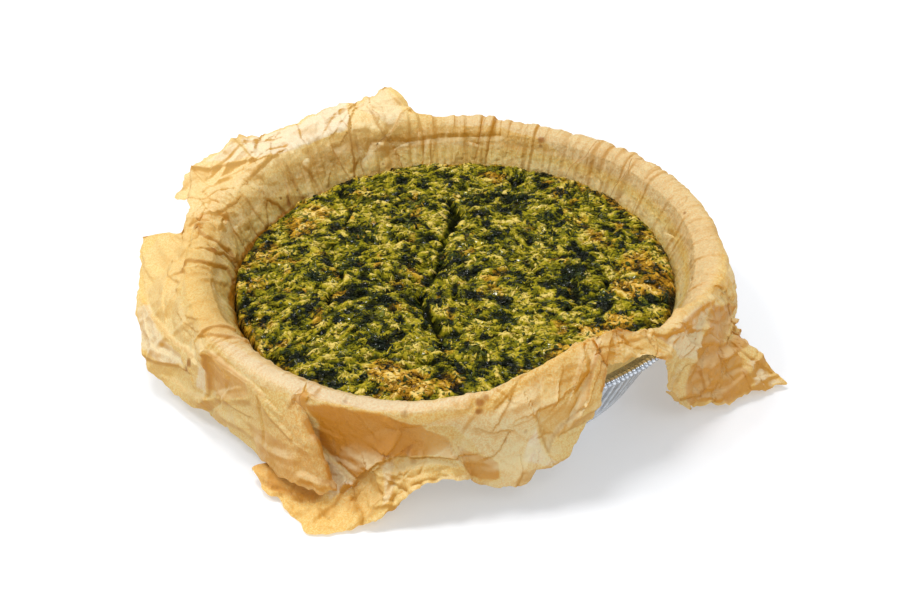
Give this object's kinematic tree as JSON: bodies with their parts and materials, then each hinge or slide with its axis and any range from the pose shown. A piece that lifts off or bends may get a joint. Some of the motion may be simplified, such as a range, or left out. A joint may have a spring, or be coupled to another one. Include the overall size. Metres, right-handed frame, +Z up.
{
  "type": "gluten-free quiche",
  "caption": "Round baked egg and spinach quiche with no pastry, in a round foil tin lined with crumpled baking paper that hangs over the rim.",
  "frame": {"origin": "centre of the tin's flat base, on the surface it stands on", "axes": "+Z up out of the open tin; -Y towards the camera of the picture, and +X to its right"},
  "size_m": [0.283, 0.2535, 0.065],
  "materials": {
    "foil": "bright pressed foil with fine ribs and a crimped bead",
    "paper": "unbleached greaseproof paper, thin, creased and slightly shiny",
    "quiche": "baked egg streaked with chopped spinach, moist, browned towards the edge"
  },
  "bodies": {
    "root": {"foil_tin": "foil", "paper_liner": "paper", "quiche": "quiche"}
  },
  "joints": []
}
